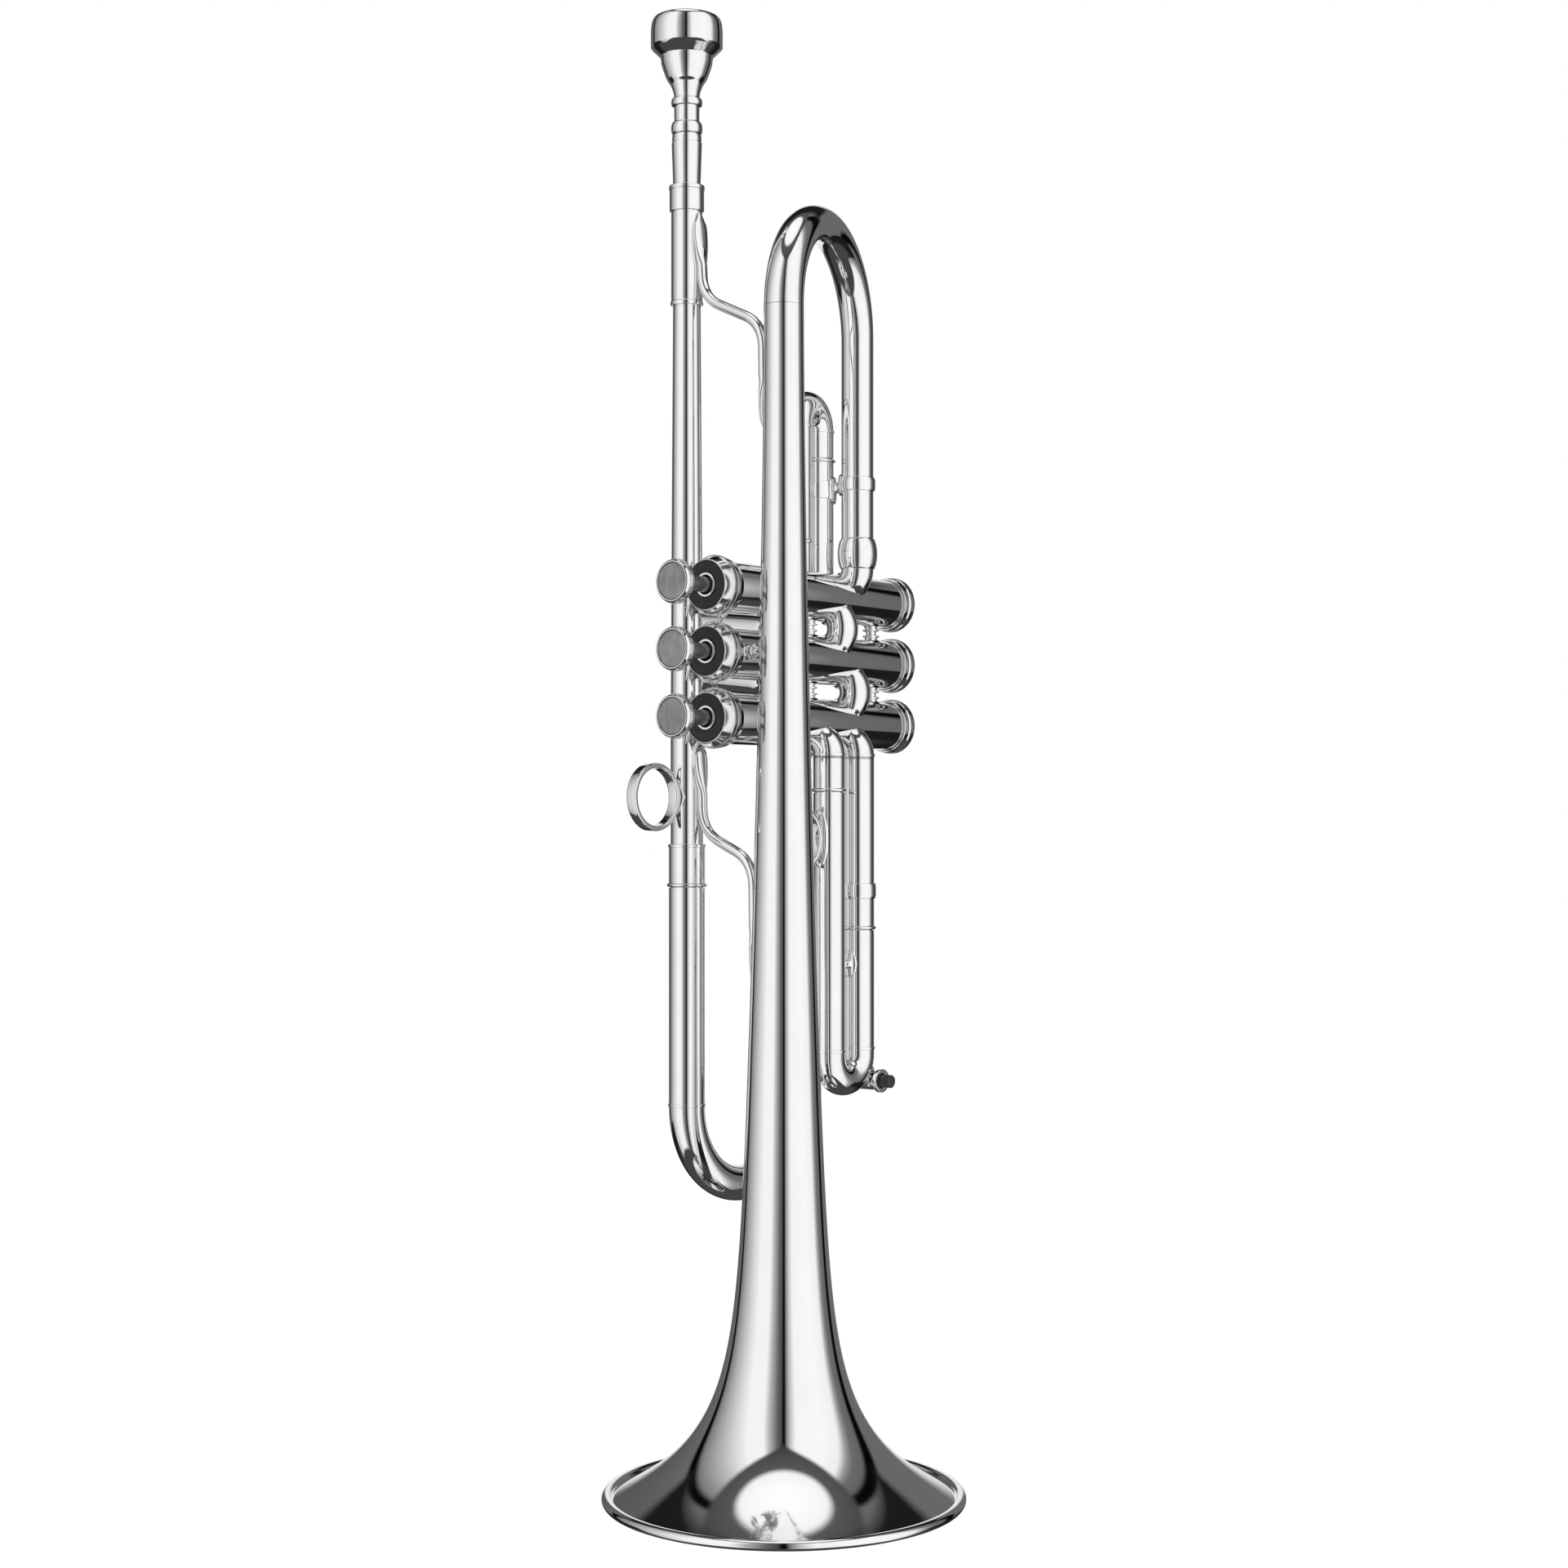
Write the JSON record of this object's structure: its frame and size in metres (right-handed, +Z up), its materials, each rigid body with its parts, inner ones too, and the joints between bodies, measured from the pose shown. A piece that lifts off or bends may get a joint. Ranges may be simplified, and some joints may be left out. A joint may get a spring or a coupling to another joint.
{
  "type": "trumpet",
  "caption": "Three-valve trumpet standing on its bell, with sliding tuning tubes, sprung pistons, finger rings and a removable mouthpiece.",
  "frame": {"origin": "bell axis at the plane of the rim, where the bell stands", "axes": "+Z up the bell to the mouthpiece, -Y towards the finger buttons, -X towards the leadpipe"},
  "size_m": [0.1442, 0.17, 0.538],
  "materials": {
    "silver_plate": "polished silver plate",
    "black_felt": "pressed felt",
    "guide_nylon": "moulded nylon",
    "piston_metal": "honed nickel alloy",
    "stem_steel": "satin",
    "grey_pearl": "polished mother-of-pearl look",
    "spring_steel": "drawn wire",
    "black_button": "moulded"
  },
  "bodies": {
    "horn": {"bell": "silver_plate", "rim_wire": "silver_plate", "bell_bow": "silver_plate", "bell_ferrule": "silver_plate", "bell_knuckle": "silver_plate", "valve_casing_1": "silver_plate", "valve_casing_2": "silver_plate", "valve_casing_3": "silver_plate", "valve_crossovers": "silver_plate", "top_cap_1": "silver_plate", "top_cap_2": "silver_plate", "top_cap_3": "silver_plate", "bottom_cap_1": "silver_plate", "bottom_cap_2": "silver_plate", "bottom_cap_3": "silver_plate", "cap_felts": "black_felt", "valve_guides": "guide_nylon", "valve_spring_1": "spring_steel", "valve_spring_2": "spring_steel", "valve_spring_3": "spring_steel", "first_slide_sleeves": "silver_plate", "second_slide_sleeves": "silver_plate", "third_slide_sleeves": "silver_plate", "main_slide_sleeve": "silver_plate", "leadpipe": "silver_plate", "leadpipe_ferrule": "silver_plate", "leadpipe_sleeve": "silver_plate", "mouthpiece_receiver": "silver_plate", "bell_post": "silver_plate", "casing_posts": "silver_plate", "branch_clamp": "silver_plate", "slide_brace": "silver_plate", "upper_brace": "silver_plate", "lower_brace": "silver_plate", "pinky_ring": "silver_plate"},
    "main_slide": {"main_tuning_slide": "silver_plate", "main_water_key": "silver_plate"},
    "main_key": {"main_key_plunger": "black_button"},
    "first_slide": {"first_slide": "silver_plate", "thumb_saddle": "silver_plate"},
    "second_slide": {"second_slide": "silver_plate"},
    "third_slide": {"third_slide": "silver_plate", "third_slide_ring": "silver_plate", "third_water_key": "silver_plate"},
    "third_key": {"third_key_plunger": "black_button"},
    "mouthpiece": {"mouthpiece": "silver_plate"},
    "valve_1": {"piston_1": "piston_metal", "valve_stem_1": "stem_steel", "finger_button_1": "silver_plate", "button_pearl_1": "grey_pearl"},
    "valve_2": {"piston_2": "piston_metal", "valve_stem_2": "stem_steel", "finger_button_2": "silver_plate", "button_pearl_2": "grey_pearl"},
    "valve_3": {"piston_3": "piston_metal", "valve_stem_3": "stem_steel", "finger_button_3": "silver_plate", "button_pearl_3": "grey_pearl"}
  },
  "joints": [
    {"name": "valve_1_press", "type": "slide", "parent": "horn", "child": "valve_1", "axis": [0, 1, 0], "range_m": [0, 0.013], "stiffness_N_per_m": 250, "springref_m": -0.012, "deforming": ["valve_spring_1"]},
    {"name": "valve_2_press", "type": "slide", "parent": "horn", "child": "valve_2", "axis": [0, 1, 0], "range_m": [0, 0.013], "stiffness_N_per_m": 250, "springref_m": -0.012, "deforming": ["valve_spring_2"]},
    {"name": "valve_3_press", "type": "slide", "parent": "horn", "child": "valve_3", "axis": [0, 1, 0], "range_m": [0, 0.013], "stiffness_N_per_m": 250, "springref_m": -0.012, "deforming": ["valve_spring_3"]},
    {"name": "main_slide_pull", "type": "slide", "parent": "horn", "child": "main_slide", "axis": [0, 0, -1], "range_m": [0, 0.05]},
    {"name": "third_slide_push", "type": "slide", "parent": "horn", "child": "third_slide", "axis": [0, 0, -1], "range_m": [0, 0.035]},
    {"name": "first_slide_push", "type": "slide", "parent": "horn", "child": "first_slide", "axis": [0, 0, 1], "range_m": [0, 0.022]},
    {"name": "second_slide_pull", "type": "slide", "parent": "horn", "child": "second_slide", "axis": [-0.9945, 0, 0.1045], "range_m": [0, 0.016]},
    {"name": "mouthpiece_pull", "type": "slide", "parent": "horn", "child": "mouthpiece", "axis": [0, 0, 1], "range_m": [0, 0.03]},
    {"name": "main_key_press", "type": "slide", "parent": "main_slide", "child": "main_key", "axis": [-1, 0, 0], "range_m": [0, 0.002], "stiffness_N_per_m": 600, "springref_m": -0.003},
    {"name": "third_key_press", "type": "slide", "parent": "third_slide", "child": "third_key", "axis": [-1, 0, 0], "range_m": [0, 0.002], "stiffness_N_per_m": 600, "springref_m": -0.003}
  ]
}
